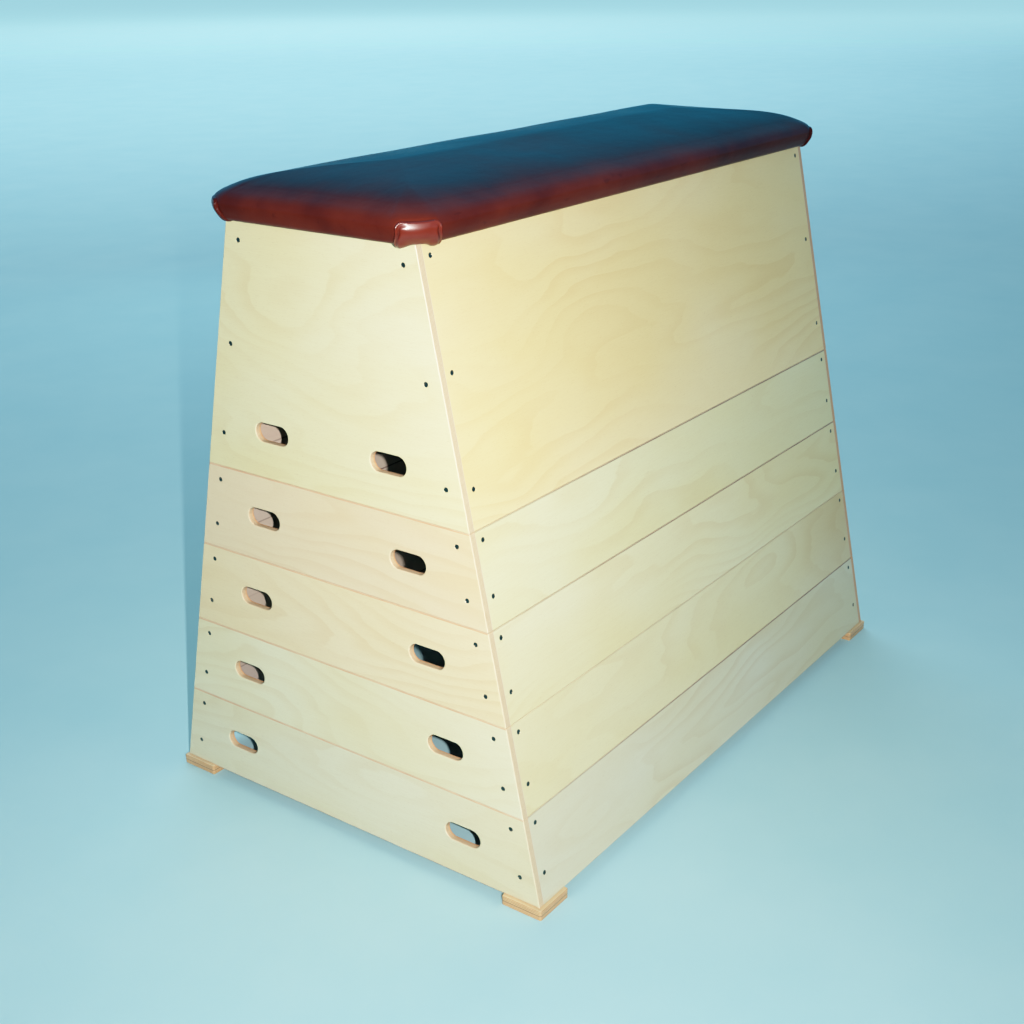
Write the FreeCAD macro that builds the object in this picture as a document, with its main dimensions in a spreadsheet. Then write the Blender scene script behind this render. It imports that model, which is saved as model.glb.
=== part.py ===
import FreeCAD, Part

# Five-part vaulting box.
# Frame: +Z up, Z = 0 on the floor, origin under the centre of the box, X along
# the long sides, Y across. "left" and "right" are the ends at -X and +X,
# "front" and "back" the long sides at -Y and +Y. Millimetres.
#
# Four equal low sections and a tall top section stand on one another. The long
# sides lean in by 12.1 degrees and the ends by 1.1 degrees, in one line from the
# floor to the pad. Every section is a frame of four plywood boards screwed to
# four corner posts. The post tops of the lower sections stand up as tenons into
# the open corners of the section above.

import math
import os

import Sketcher

V = FreeCAD.Vector

doc = FreeCAD.newDocument("vaulting_box")

# --------------------------------------------------------------------------
# Driving dimensions
# --------------------------------------------------------------------------
sheet = doc.addObject("Spreadsheet::Sheet", "Sizes")
sheet.Label = "Sizes"

SIZES = [
    # the shape of the whole box
    ("foot_height", 18.0, "thickness of the feet"),
    ("section_height", 150.0, "height of each of the four lower sections"),
    ("top_height", 408.0, "height of the top section's boards"),
    ("base_half_length", 616.0, "half length over the end panels, at the feet"),
    ("base_half_width", 401.0, "half width over the side panels, at the feet"),
    ("lean_end", 0.02, "lean of the end panels, across per up"),
    ("lean_side", 0.2146, "lean of the side panels, across per up"),
    # boards
    ("board", 12.0, "plywood thickness"),
    ("butt_gap", 0.1, "play where a side panel meets an end panel"),
    ("edge_round", 1.6, "rounding of the boards' outer edges"),
    # hand slots
    ("slot_inset", 135.5, "slot centre to the board's sloping edge"),
    ("slot_level", 76.8, "slot centre above the board's lower edge"),
    ("slot_half_straight", 19.4, "half the straight length of a slot"),
    ("slot_radius", 15.7, "half the height of a slot"),
    ("slot_round_out", 2.0, "rounding of a slot's outer edge"),
    ("slot_round_in", 1.5, "rounding of a slot's inner edge"),
    # corner posts
    ("post_size", 40.0, "side of a corner post"),
    ("post_gap", 0.05, "glue line between post and board"),
    ("tenon_height", 35.0, "how far a post stands up into the next section"),
    ("tenon_inset", 1.2, "how much smaller the tenon is on each side"),
    ("tenon_bevel", 6.0, "lead-in bevel at the top of a tenon"),
    ("socket_height", 38.0, "how high a post starts above its section's lower edge"),
    # screws through the boards into the posts
    ("screw_length", 30.0, "wood screw length"),
    ("screw_head_radius", 3.8, "wood screw head"),
    ("screw_shank_radius", 2.0, "wood screw shank"),
    ("screw_tip", 6.5, "length of the screw's point"),
    ("screw_recess", 0.3, "head below the board's face"),
    ("screw_slot", 1.0, "width and depth of the driver slot"),
    ("sink_diameter", 8.7, "countersink at the board's face"),
    ("clear_diameter", 4.6, "clearance hole in the board"),
    ("pilot_diameter", 4.1, "pilot hole in the post"),
    ("pilot_depth", 31.0, "pilot hole's depth from the board's face"),
    ("end_screw_inset", 29.5, "end panel screws to the board's sloping edge"),
    ("side_screw_inset", 27.5, "side panel screws to the end panel's face"),
    ("end_screw_low", 43.5, "lower screw of an end panel"),
    ("end_screw_high", 125.5, "upper screw of an end panel"),
    ("side_screw_low", 48.5, "lower screw of a side panel"),
    ("side_screw_high", 134.0, "upper screw of a side panel"),
    ("top_end_screw_low", 60.0, "top section, end panel, lower screw"),
    ("top_end_screw_mid", 211.0, "top section, end panel, middle screw"),
    ("top_end_screw_high", 375.0, "top section, end panel, upper screw"),
    ("top_side_screw_low", 59.0, "top section, side panel, lower screw"),
    ("top_side_screw_mid", 226.0, "top section, side panel, middle screw"),
    ("top_side_screw_high", 387.0, "top section, side panel, upper screw"),
    # feet
    ("foot_size", 77.0, "side of a foot"),
    ("foot_overhang", 6.0, "foot past the panels' faces"),
    ("foot_corner", 4.0, "rounding of a foot's corners"),
    ("foot_bevel", 1.2, "bevel of a foot's edges"),
    ("foot_screw_length", 38.0, "foot screw length"),
    ("foot_screw_recess", 1.5, "foot screw head above the floor"),
    ("foot_screw_a", 33.0, "first foot screw from the panels' faces"),
    ("foot_screw_b", 46.0, "second foot screw from the panels' faces"),
    # padded top
    ("deck_half_length", 610.0, "half length of the deck board"),
    ("deck_half_width", 199.0, "half width of the deck board"),
    ("deck_thickness", 18.0, "deck board thickness"),
    ("deck_corner", 36.0, "deck corner radius"),
    ("deck_edge_round", 4.0, "rounding of the deck's upper edge"),
    ("batten_place", 215.0, "batten to the middle of the box"),
    ("batten_width", 70.0, "batten width"),
    ("batten_thickness", 22.0, "batten thickness"),
    ("batten_half_length", 166.0, "half length of a batten"),
    ("deck_screw_length", 36.0, "deck screw length"),
    ("foam_half_length", 620.5, "half length of the foam over the deck's edges"),
    ("foam_half_width", 209.5, "half width of the foam over the deck's edges"),
    ("foam_top", 1098.0, "top of the foam above the floor"),
    ("foam_corner", 46.0, "foam corner radius"),
    ("foam_top_round", 27.0, "rounding of the foam's upper edge"),
    ("foam_low_round", 9.0, "rounding of the foam's lower edge"),
    ("leather", 2.0, "leather thickness"),
    ("hem_inner_half_length", 597.5, "half length of the opening in the turned-in edge"),
    ("hem_inner_half_width", 186.5, "half width of the opening in the turned-in edge"),
    ("tack_head_radius", 3.2, "tack head"),
    ("tack_head", 1.0, "height of a tack head"),
    ("tack_shank_radius", 0.8, "tack shank"),
    ("tack_length", 11.0, "tack shank length"),
    ("tack_pitch", 54.0, "distance from tack to tack"),
]
for row, (alias, value, note) in enumerate(SIZES, start=1):
    sheet.set("A%d" % row, alias)
    sheet.set("B%d" % row, repr(value))
    sheet.set("C%d" % row, note)
    sheet.setAlias("B%d" % row, alias)
doc.recompute()
NUM = {alias: float(sheet.get(alias)) for alias, value, note in SIZES}


class Size:
    """A number together with the sheet formula that gives it."""

    def __init__(self, value, text):
        self.value = float(value)
        self.text = text

    @staticmethod
    def of(other):
        return other if isinstance(other, Size) else Size(other, repr(float(other)))

    def __add__(self, o):
        o = Size.of(o)
        return Size(self.value + o.value, "(%s + %s)" % (self.text, o.text))

    def __radd__(self, o):
        return Size.of(o) + self

    def __sub__(self, o):
        o = Size.of(o)
        return Size(self.value - o.value, "(%s - %s)" % (self.text, o.text))

    def __rsub__(self, o):
        return Size.of(o) - self

    def __mul__(self, o):
        o = Size.of(o)
        return Size(self.value * o.value, "(%s * %s)" % (self.text, o.text))

    def __rmul__(self, o):
        return Size.of(o) * self

    def __truediv__(self, o):
        o = Size.of(o)
        return Size(self.value / o.value, "(%s / %s)" % (self.text, o.text))

    def __neg__(self):
        return Size(-self.value, "(0 - %s)" % self.text)


def S(alias):
    return Size(NUM[alias], "Sizes." + alias)


def root(x):
    return Size(math.sqrt(x.value), "sqrt(%s)" % x.text)


# Slope lengths: 1 up is stretch_* along the leaning board, and a board of the
# given thickness is board_* wide in a level cut.
stretch_end = root(1.0 + S("lean_end") * S("lean_end"))
stretch_side = root(1.0 + S("lean_side") * S("lean_side"))
level_end = S("board") * stretch_end
level_side = S("board") * stretch_side


def section_floor(n):
    """Height of the lower edge of section n above the feet; n = 0 is the base."""
    return float(n) * S("section_height")


# --------------------------------------------------------------------------
# Sketching helpers
# --------------------------------------------------------------------------
def new_body(label):
    body = doc.addObject("PartDesign::Body", label)
    body.Label = label
    return body


def new_sketch(body, name, role, offset=None):
    sk = body.newObject("Sketcher::SketchObject", name)
    plane = [f for f in body.Origin.OriginFeatures if f.Role == role][0]
    sk.AttachmentSupport = [(plane, "")]
    sk.MapMode = "FlatFace"
    if offset is not None:
        sk.AttachmentOffset = offset
    return sk


def pin(sk, geo, pos, x, y):
    """Fix a point of the sketch at (x, y), each a Size or 0."""
    for kind, axis, size in (("DistanceX", -2, x), ("DistanceY", -1, y)):
        size = Size.of(size)
        if abs(size.value) < 1e-9:
            sk.addConstraint(Sketcher.Constraint("PointOnObject", geo, pos, axis))
        else:
            c = sk.addConstraint(Sketcher.Constraint(kind, -1, 1, geo, pos, size.value))
            sk.setExpression("Constraints[%d]" % c, size.text)


def polygon(sk, points):
    points = [(Size.of(x), Size.of(y)) for x, y in points]
    n = len(points)
    first = sk.GeometryCount
    for i in range(n):
        (xa, ya), (xb, yb) = points[i], points[(i + 1) % n]
        sk.addGeometry(Part.LineSegment(V(xa.value, ya.value, 0), V(xb.value, yb.value, 0)), False)
    for i in range(n):
        sk.addConstraint(Sketcher.Constraint("Coincident", first + i, 2, first + (i + 1) % n, 1))
    for i, (x, y) in enumerate(points):
        pin(sk, first + i, 1, x, y)


def rectangle(sk, x0, y0, x1, y1):
    polygon(sk, [(x0, y0), (x1, y0), (x1, y1), (x0, y1)])


def circle(sk, x, y, radius):
    x, y, radius = Size.of(x), Size.of(y), Size.of(radius)
    g = sk.addGeometry(Part.Circle(V(x.value, y.value, 0), V(0, 0, 1), radius.value), False)
    pin(sk, g, 3, x, y)
    c = sk.addConstraint(Sketcher.Constraint("Radius", g, radius.value))
    sk.setExpression("Constraints[%d]" % c, radius.text)


def stadium(sk, x, y, half_straight, radius):
    """A slot with round ends, its long way along the sketch's x."""
    cx, cy, hs, r = x.value, y.value, half_straight.value, radius.value
    right = sk.addGeometry(Part.ArcOfCircle(
        Part.Circle(V(cx + hs, cy, 0), V(0, 0, 1), r), -math.pi / 2, math.pi / 2), False)
    left = sk.addGeometry(Part.ArcOfCircle(
        Part.Circle(V(cx - hs, cy, 0), V(0, 0, 1), r), math.pi / 2, 3 * math.pi / 2), False)
    top = sk.addGeometry(Part.LineSegment(V(cx + hs, cy + r, 0), V(cx - hs, cy + r, 0)), False)
    low = sk.addGeometry(Part.LineSegment(V(cx - hs, cy - r, 0), V(cx + hs, cy - r, 0)), False)
    sk.addConstraint(Sketcher.Constraint("Tangent", right, 2, top, 1))
    sk.addConstraint(Sketcher.Constraint("Tangent", top, 2, left, 1))
    sk.addConstraint(Sketcher.Constraint("Tangent", left, 2, low, 1))
    sk.addConstraint(Sketcher.Constraint("Tangent", low, 2, right, 1))
    pin(sk, right, 3, x + half_straight, y)
    pin(sk, left, 3, x - half_straight, y)
    for g in (right, left):
        c = sk.addConstraint(Sketcher.Constraint("Radius", g, r))
        sk.setExpression("Constraints[%d]" % c, radius.text)


def rounded_rectangle(sk, half_x, half_y, radius):
    hx, hy, r = half_x.value, half_y.value, radius.value
    arcs, lines = [], []
    corners = [(1, 1), (-1, 1), (-1, -1), (1, -1)]
    for i, (sx, sy) in enumerate(corners):
        arcs.append(sk.addGeometry(Part.ArcOfCircle(
            Part.Circle(V(sx * (hx - r), sy * (hy - r), 0), V(0, 0, 1), r),
            i * math.pi / 2, (i + 1) * math.pi / 2), False))
    for a, b in (((hx - r, hy), (r - hx, hy)), ((-hx, hy - r), (-hx, r - hy)),
                 ((r - hx, -hy), (hx - r, -hy)), ((hx, r - hy), (hx, hy - r))):
        lines.append(sk.addGeometry(Part.LineSegment(V(a[0], a[1], 0), V(b[0], b[1], 0)), False))
    for i in range(4):
        sk.addConstraint(Sketcher.Constraint("Tangent", arcs[i], 2, lines[i], 1))
        sk.addConstraint(Sketcher.Constraint("Tangent", lines[i], 2, arcs[(i + 1) % 4], 1))
    for g, (sx, sy) in zip(arcs, corners):
        pin(sk, g, 3, float(sx) * (half_x - radius), float(sy) * (half_y - radius))
        c = sk.addConstraint(Sketcher.Constraint("Radius", g, r))
        sk.setExpression("Constraints[%d]" % c, radius.text)


def pad(body, name, sk, length, symmetric=False, direction=None, down=False):
    f = body.newObject("PartDesign::Pad", name)
    f.Profile = sk
    if symmetric:
        f.SideType = "Symmetric"
    if direction is not None:
        f.UseCustomVector = True
        f.Direction = direction
        f.AlongSketchNormal = True
    if down:
        f.Reversed = True
    f.setExpression("Length", Size.of(length).text)
    f.Length = Size.of(length).value
    doc.recompute()
    return f


def pocket(body, name, sk, length=None):
    """Cut against the sketch's normal, all the way or to a depth."""
    before = body.Shape.Volume
    f = body.newObject("PartDesign::Pocket", name)
    f.Profile = sk
    if length is None:
        f.Type = "ThroughAll"
    else:
        f.setExpression("Length", Size.of(length).text)
        f.Length = Size.of(length).value
    doc.recompute()
    if not body.Shape.Volume < before - 1.0:
        raise RuntimeError("%s of %s cuts nothing" % (name, body.Label))
    return f


def sunk_hole(body, name, sk):
    """Countersunk clearance holes, right through, at the sketch's circles."""
    before = body.Shape.Volume
    f = body.newObject("PartDesign::Hole", name)
    f.Profile = sk
    doc.recompute()
    f.ThreadType = "None"
    f.setExpression("Diameter", "Sizes.clear_diameter")
    f.HoleCutType = "Countersink"
    f.HoleCutCustomValues = True
    f.setExpression("HoleCutDiameter", "Sizes.sink_diameter")
    f.HoleCutCountersinkAngle = 90
    f.DepthType = "ThroughAll"
    f.DrillPoint = "Flat"
    doc.recompute()
    if not body.Shape.Volume < before - 1.0:
        raise RuntimeError("%s of %s cuts nothing" % (name, body.Label))
    return f


def round_edges(body, name, radius, choose, kind="Fillet"):
    """Round or bevel the edges of the body that choose() picks."""
    base = body.Tip
    names = ["Edge%d" % (i + 1) for i, e in enumerate(base.Shape.Edges) if choose(e)]
    if not names:
        raise RuntimeError("%s of %s finds no edge" % (name, body.Label))
    f = body.newObject("PartDesign::" + kind, name)
    f.Base = (base, names)
    f.setExpression("Radius" if kind == "Fillet" else "Size", Size.of(radius).text)
    doc.recompute()
    if not f.Shape.isValid() or "Invalid" in f.State:
        raise RuntimeError("%s of %s fails" % (name, body.Label))
    return f


def ends(edge):
    return [v.Point for v in edge.Vertexes]


def flat_at(edge, axis, value, tol=0.01):
    """All of the edge lies at one value of x (0), y (1) or z (2)."""
    b = edge.BoundBox
    low = (b.XMin, b.YMin, b.ZMin)[axis]
    high = (b.XMax, b.YMax, b.ZMax)[axis]
    return abs(low - value) < tol and abs(high - value) < tol


# --------------------------------------------------------------------------
# Boards. Each is drawn flat: x along it, y up the slope, z = 0 its outer face,
# the thickness below. Its placement leans it into its section.
# --------------------------------------------------------------------------
def board_blank(body, height, half, shrink, stretch, lean):
    """A board with level upper and lower edges and sloping ends.

    half is the half length at the lower edge and shrink what it loses for each
    unit up. stretch and lean belong to the way the board itself leans.
    """
    slope = height * stretch
    thick = S("board")
    step = thick * lean
    profile = new_sketch(body, "Profile", "YZ_Plane")
    polygon(profile, [(0, 0), (slope, 0), (slope + step, -thick), (step, -thick)])
    pad(body, "Blank", profile, 2.0 * (half + 3.0), symmetric=True)
    trim = new_sketch(body, "EndCuts", "XY_Plane")
    over = 12.0
    low_x = half + shrink * over / stretch
    high_y = slope + over
    high_x = half - shrink * high_y / stretch
    for side in (1.0, -1.0):
        polygon(trim, [
            (side * low_x, Size.of(-over)),
            (side * (half + 30.0), Size.of(-over)),
            (side * (half + 30.0), high_y),
            (side * high_x, high_y),
        ])
    pocket(body, "TrimEnds", trim)


def end_panel(label, n, height, screw_levels):
    """End board of section n, over the full width, with two hand slots."""
    body = new_body(label)
    half = S("base_half_width") - S("lean_side") * section_floor(n)
    shrink = S("lean_side")
    board_blank(body, height, half, shrink, stretch_end, S("lean_end"))

    def outer(e):
        return flat_at(e, 2, 0.0) or (
            abs(abs(ends(e)[0].z - ends(e)[-1].z) - NUM["board"]) < 0.5)

    round_edges(body, "SoftEdges", S("edge_round"), outer)
    slots = new_sketch(body, "Slots", "XY_Plane")
    level = S("slot_level") * stretch_end
    across = half - shrink * S("slot_level") - S("slot_inset")
    for side in (1.0, -1.0):
        stadium(slots, side * across, level, S("slot_half_straight"), S("slot_radius"))
    pocket(body, "HandSlots", slots)

    def slot_edge(z):
        def choose(e):
            b = e.BoundBox
            if not flat_at(e, 2, z):
                return False
            return (abs(b.Center.y - level.value) < NUM["slot_radius"] + 1.0
                    and abs(abs(b.Center.x) - across.value) < NUM["slot_half_straight"] + NUM["slot_radius"] + 1.0)
        return choose

    round_edges(body, "SlotOutside", S("slot_round_out"), slot_edge(0.0))
    round_edges(body, "SlotInside", S("slot_round_in"), slot_edge(-NUM["board"]))
    screws = new_sketch(body, "ScrewPlaces", "XY_Plane")
    places = []
    for up in screw_levels:
        x = half - shrink * up - S("end_screw_inset")
        y = up * stretch_end
        for side in (1.0, -1.0):
            circle(screws, side * x, y, S("clear_diameter") / 2.0)
            places.append((side * x.value, y.value))
    sunk_hole(body, "ScrewHoles", screws)
    return body, places


def side_panel(label, n, height, screw_levels):
    """Long side board of section n, between the two end panels."""
    body = new_body(label)
    outer_half = S("base_half_length") - S("lean_end") * section_floor(n)
    half = outer_half - level_end - S("butt_gap")
    shrink = S("lean_end")
    board_blank(body, height, half, shrink, stretch_side, S("lean_side"))

    def outer(e):
        if not flat_at(e, 2, 0.0):
            return False
        a, b = ends(e)[0], ends(e)[-1]
        return abs(a.x - b.x) > 100.0

    round_edges(body, "SoftEdges", S("edge_round"), outer)
    screws = new_sketch(body, "ScrewPlaces", "XY_Plane")
    places = []
    for up in screw_levels:
        x = outer_half - shrink * up - S("side_screw_inset")
        y = up * stretch_side
        for side in (1.0, -1.0):
            circle(screws, side * x, y, S("clear_diameter") / 2.0)
            places.append((side * x.value, y.value))
    sunk_hole(body, "ScrewHoles", screws)
    return body, places


def matrix(origin, x_axis, y_axis, z_axis):
    m = FreeCAD.Matrix(
        x_axis.x, y_axis.x, z_axis.x, origin.x,
        x_axis.y, y_axis.y, z_axis.y, origin.y,
        x_axis.z, y_axis.z, z_axis.z, origin.z,
        0, 0, 0, 1)
    return FreeCAD.Placement(m)


def lean_end_frame(n, sign):
    """From a flat end board to its place in section n; sign -1 left, 1 right."""
    lean = NUM["lean_end"]
    k = stretch_end.value
    half = NUM["base_half_length"] - lean * n * NUM["section_height"]
    x_axis = V(0, sign, 0)
    y_axis = V(-sign * lean / k, 0, 1 / k)
    z_axis = V(sign / k, 0, lean / k)
    return matrix(V(sign * half, 0, 0), x_axis, y_axis, z_axis)


def lean_side_frame(n, sign):
    """From a flat side board to its place in section n; sign -1 front, 1 back."""
    lean = NUM["lean_side"]
    k = stretch_side.value
    half = NUM["base_half_width"] - lean * n * NUM["section_height"]
    x_axis = V(-sign, 0, 0)
    y_axis = V(0, -sign * lean / k, 1 / k)
    z_axis = V(0, sign / k, lean / k)
    return matrix(V(0, sign * half, 0), x_axis, y_axis, z_axis)


# --------------------------------------------------------------------------
# Corner posts, drawn in the section's own frame: z = 0 at its lower edge.
# --------------------------------------------------------------------------
def corner_post(label, n, sx, sy, height, start, tenon, end_places, side_places,
                deck=False, foot=False):
    """The post at the corner (sx, sy) of section n, from start up to height."""
    body = new_body(label)

    def block(name, low, inset):
        out_x = (S("base_half_length") - S("lean_end") * (section_floor(n) + low)
                 - level_end - S("post_gap") - inset)
        out_y = (S("base_half_width") - S("lean_side") * (section_floor(n) + low)
                 - level_side - S("post_gap") - inset)
        side = S("post_size") - 2.0 * inset
        sk = new_sketch(body, name, "XY_Plane", FreeCAD.Placement(V(0, 0, low.value), FreeCAD.Rotation()))
        if low.value != 0.0:
            sk.setExpression(".AttachmentOffset.Base.z", low.text)
        rectangle(sk, sx * out_x, sy * out_y, sx * (out_x - side), sy * (out_y - side))
        return sk

    up = V(-sx * NUM["lean_end"], -sy * NUM["lean_side"], 1.0)
    low = S("socket_height") if start else Size.of(0.0)
    pad(body, "Post", block("PostSection", low, Size.of(0.0)), height - low, direction=up)
    if tenon:
        pad(body, "Tenon", block("TenonSection", height, S("tenon_inset")),
            S("tenon_height"), direction=up)
        top_z = (height + S("tenon_height")).value
        round_edges(body, "LeadIn", S("tenon_bevel"), lambda e: flat_at(e, 2, top_z), kind="Chamfer")
    for name, frame, places, facing in (
            ("EndPilots", lean_end_frame(n, sx), end_places, 0),
            ("SidePilots", lean_side_frame(n, sy), side_places, 1)):
        sk = new_sketch(body, name + "Places", "XY_Plane", frame)
        for x, y in places:
            p = frame.multVec(V(x, y, 0))
            mine = (p.y * sy > 0) if facing == 0 else (p.x * sx > 0)
            if mine:
                g = sk.addGeometry(Part.Circle(V(x, y, 0), V(0, 0, 1), NUM["pilot_diameter"] / 2), False)
                pin(sk, g, 3, x, y)
                c = sk.addConstraint(Sketcher.Constraint("Radius", g, NUM["pilot_diameter"] / 2))
                sk.setExpression("Constraints[%d]" % c, "Sizes.pilot_diameter / 2")
        pocket(body, name, sk, S("pilot_depth"))
    if deck:
        sk = new_sketch(body, "DeckPilotsPlaces", "XY_Plane",
                        FreeCAD.Placement(V(0, 0, height.value), FreeCAD.Rotation()))
        for x, y in deck_post_screws(sx, sy):
            circle(sk, x, y, S("pilot_diameter") / 2.0)
        pocket(body, "DeckPilots", sk, S("deck_screw_length") - S("deck_thickness") + 1.0)
    if foot:
        under = FreeCAD.Placement(V(0, 0, 0), FreeCAD.Rotation(V(1, 0, 0), 180))
        sk = new_sketch(body, "FootPilotsPlaces", "XY_Plane", under)
        for x, y in foot_screws(sx, sy):
            circle(sk, x, -y, S("pilot_diameter") / 2.0)
        pocket(body, "FootPilots", sk, S("foot_screw_length") - S("foot_height")
               + S("foot_screw_recess") + 1.0)
    return body


def deck_post_screws(sx, sy):
    """Two deck screws down into each top post."""
    half_x = S("base_half_length") - S("lean_end") * (section_floor(4) + S("top_height"))
    half_y = S("base_half_width") - S("lean_side") * (section_floor(4) + S("top_height"))
    return [
        (sx * (half_x - 24.0), sy * (half_y - 46.0)),
        (sx * (half_x - 46.0), sy * (half_y - 26.0)),
    ]


def foot_screws(sx, sy):
    """Two screws up through each foot into the base post."""
    a, b = S("foot_screw_a"), S("foot_screw_b")
    return [
        (sx * (S("base_half_length") - a), sy * (S("base_half_width") - b)),
        (sx * (S("base_half_length") - b), sy * (S("base_half_width") - a)),
    ]


# --------------------------------------------------------------------------
# Fasteners: one of each kind is turned, and copies of it fill the groups.
# --------------------------------------------------------------------------
def wood_screw(label, length):
    """Countersunk slotted screw, head's top at z = 0, point down."""
    body = new_body(label)
    r, s = S("screw_head_radius"), S("screw_shank_radius")
    sk = new_sketch(body, "Half", "XZ_Plane")
    polygon(sk, [(0, 0), (r, 0), (r, Size.of(-0.15)), (s, s - r - 0.15), (s, S("screw_tip") - length),
                 (0, -length)])
    turn = body.newObject("PartDesign::Revolution", "Turn")
    turn.Profile = sk
    turn.ReferenceAxis = (sk, ["V_Axis"])
    turn.Angle = 360
    doc.recompute()
    slot = new_sketch(body, "DriverSlot", "XY_Plane")
    rectangle(slot, -r - 1.0, -S("screw_slot") / 2.0, r + 1.0, S("screw_slot") / 2.0)
    pocket(body, "Slot", slot, S("screw_slot"))
    return body


def upholstery_tack(label):
    """Tack driven upwards: the head's upper side at z = 0, the shank above."""
    body = new_body(label)
    r, s = S("tack_head_radius"), S("tack_shank_radius")
    sk = new_sketch(body, "Half", "XZ_Plane")
    polygon(sk, [(0, -S("tack_head")), (r * 0.6, -S("tack_head")), (r, -S("tack_head") * 0.25), (r, 0),
                 (s, 0), (s, S("tack_length") - 2.0), (0, S("tack_length"))])
    turn = body.newObject("PartDesign::Revolution", "Turn")
    turn.Profile = sk
    turn.ReferenceAxis = (sk, ["V_Axis"])
    turn.Angle = 360
    doc.recompute()
    return body


def group(label, master, places):
    """Copies of one fastener, as separate solids, at the given placements."""
    solids = []
    for p in places:
        s = master.Shape.copy()
        s.Placement = p
        solids.append(s)
    f = doc.addObject("Part::Feature", label)
    f.Label = label
    f.Shape = Part.makeCompound(solids)
    return f


# --------------------------------------------------------------------------
# The five sections
# --------------------------------------------------------------------------
parts = []
NAMES = ["base", "section4", "section3", "section2", "top"]
low_end = [S("end_screw_low"), S("end_screw_high")]
low_side = [S("side_screw_low"), S("side_screw_high")]
top_end = [S("top_end_screw_low"), S("top_end_screw_mid"), S("top_end_screw_high")]
top_side = [S("top_side_screw_low"), S("top_side_screw_mid"), S("top_side_screw_high")]

screw = wood_screw("wood_screw", S("screw_length"))
foot_screw = wood_screw("foot_screw", S("foot_screw_length"))
deck_screw = wood_screw("deck_screw", S("deck_screw_length"))
tack = upholstery_tack("tack")

for n, name in enumerate(NAMES):
    top = n == 4
    height = S("top_height") if top else S("section_height")
    lift = FreeCAD.Placement(V(0, 0, NUM["foot_height"] + n * NUM["section_height"]), FreeCAD.Rotation())
    screw_frames = []
    for word, sign in (("left", -1), ("right", 1)):
        body, end_places = end_panel("%s_end_panel_%s" % (name, word), n, height, top_end if top else low_end)
        body.Placement = lift.multiply(lean_end_frame(n, sign))
        parts.append(body)
        screw_frames += [(body.Placement, x, y) for x, y in end_places]
    for word, sign in (("front", -1), ("back", 1)):
        body, side_places = side_panel("%s_side_panel_%s" % (name, word), n, height, top_side if top else low_side)
        body.Placement = lift.multiply(lean_side_frame(n, sign))
        parts.append(body)
        screw_frames += [(body.Placement, x, y) for x, y in side_places]
    for wy, sy in (("front", -1), ("back", 1)):
        for wx, sx in (("left", -1), ("right", 1)):
            body = corner_post("%s_post_%s_%s" % (name, wy, wx), n, float(sx), float(sy), height,
                               n > 0, not top, end_places, side_places, deck=top, foot=n == 0)
            body.Placement = lift
            parts.append(body)
    # every driver slot is left at its own angle, as it was driven home
    placed = []
    for i, (frame, x, y) in enumerate(screw_frames):
        turn = FreeCAD.Rotation(V(0, 0, 1), (37.0 * (i + 1) + 61.0 * n) % 180.0)
        placed.append(frame.multiply(FreeCAD.Placement(V(x, y, -NUM["screw_recess"]), turn)))
    parts.append(group("%s_screws" % name, screw, placed))

# --------------------------------------------------------------------------
# Feet under the base section's corners
# --------------------------------------------------------------------------
foot_places = []
for wy, sy in (("front", -1.0), ("back", 1.0)):
    for wx, sx in (("left", -1.0), ("right", 1.0)):
        body = new_body("foot_%s_%s" % (wy, wx))
        sk = new_sketch(body, "Outline", "XY_Plane")
        out_x = S("base_half_length") + S("foot_overhang")
        out_y = S("base_half_width") + S("foot_overhang")
        rectangle(sk, sx * out_x, sy * out_y, sx * (out_x - S("foot_size")), sy * (out_y - S("foot_size")))
        pad(body, "Block", sk, S("foot_height"))
        round_edges(body, "Corners", S("foot_corner"),
                    lambda e: abs(abs(ends(e)[0].z - ends(e)[-1].z) - NUM["foot_height"]) < 0.01)
        round_edges(body, "Edges", S("foot_bevel"),
                    lambda e: flat_at(e, 2, 0.0) or flat_at(e, 2, NUM["foot_height"]), kind="Chamfer")
        under = FreeCAD.Placement(V(0, 0, 0), FreeCAD.Rotation(V(1, 0, 0), 180))
        holes = new_sketch(body, "ScrewPlaces", "XY_Plane", under)
        sunk = new_sketch(body, "SinkPlaces", "XY_Plane", under)
        for i, (x, y) in enumerate(foot_screws(sx, sy)):
            circle(holes, x, -y, S("clear_diameter") / 2.0)
            circle(sunk, x, -y, S("sink_diameter") / 2.0)
            foot_places.append(FreeCAD.Placement(
                V(x.value, y.value, NUM["foot_screw_recess"]),
                FreeCAD.Rotation(V(1, 0, 0), 180).multiply(FreeCAD.Rotation(V(0, 0, 1), 40.0 * i + 25.0))))
        # counterbore to the head's depth, then the countersunk hole above it
        pocket(body, "Counterbore", sunk, S("foot_screw_recess") - 0.25)
        deeper = FreeCAD.Placement(V(0, 0, NUM["foot_screw_recess"] - 0.25), FreeCAD.Rotation(V(1, 0, 0), 180))
        holes.AttachmentOffset = deeper
        sunk_hole(body, "ScrewHoles", holes)
        body.Placement = FreeCAD.Placement(V(0, 0, 0), FreeCAD.Rotation())
        parts.append(body)
parts.append(group("foot_screws", foot_screw, foot_places))

# --------------------------------------------------------------------------
# Padded top
# --------------------------------------------------------------------------
deck_z = NUM["foot_height"] + 4 * NUM["section_height"] + NUM["top_height"]
at_deck = FreeCAD.Placement(V(0, 0, deck_z), FreeCAD.Rotation())
bx, bl = S("batten_place"), S("batten_half_length")
batten_screws = [(sx * bx + dx, sy * (bl * 0.35 if k else bl * 0.85), )
                 for sx in (-1.0, 1.0) for sy in (-1.0, 1.0)
                 for k, dx in ((0, 15.0), (1, -15.0))]
post_screws = [p for sx in (-1.0, 1.0) for sy in (-1.0, 1.0) for p in deck_post_screws(sx, sy)]

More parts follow.
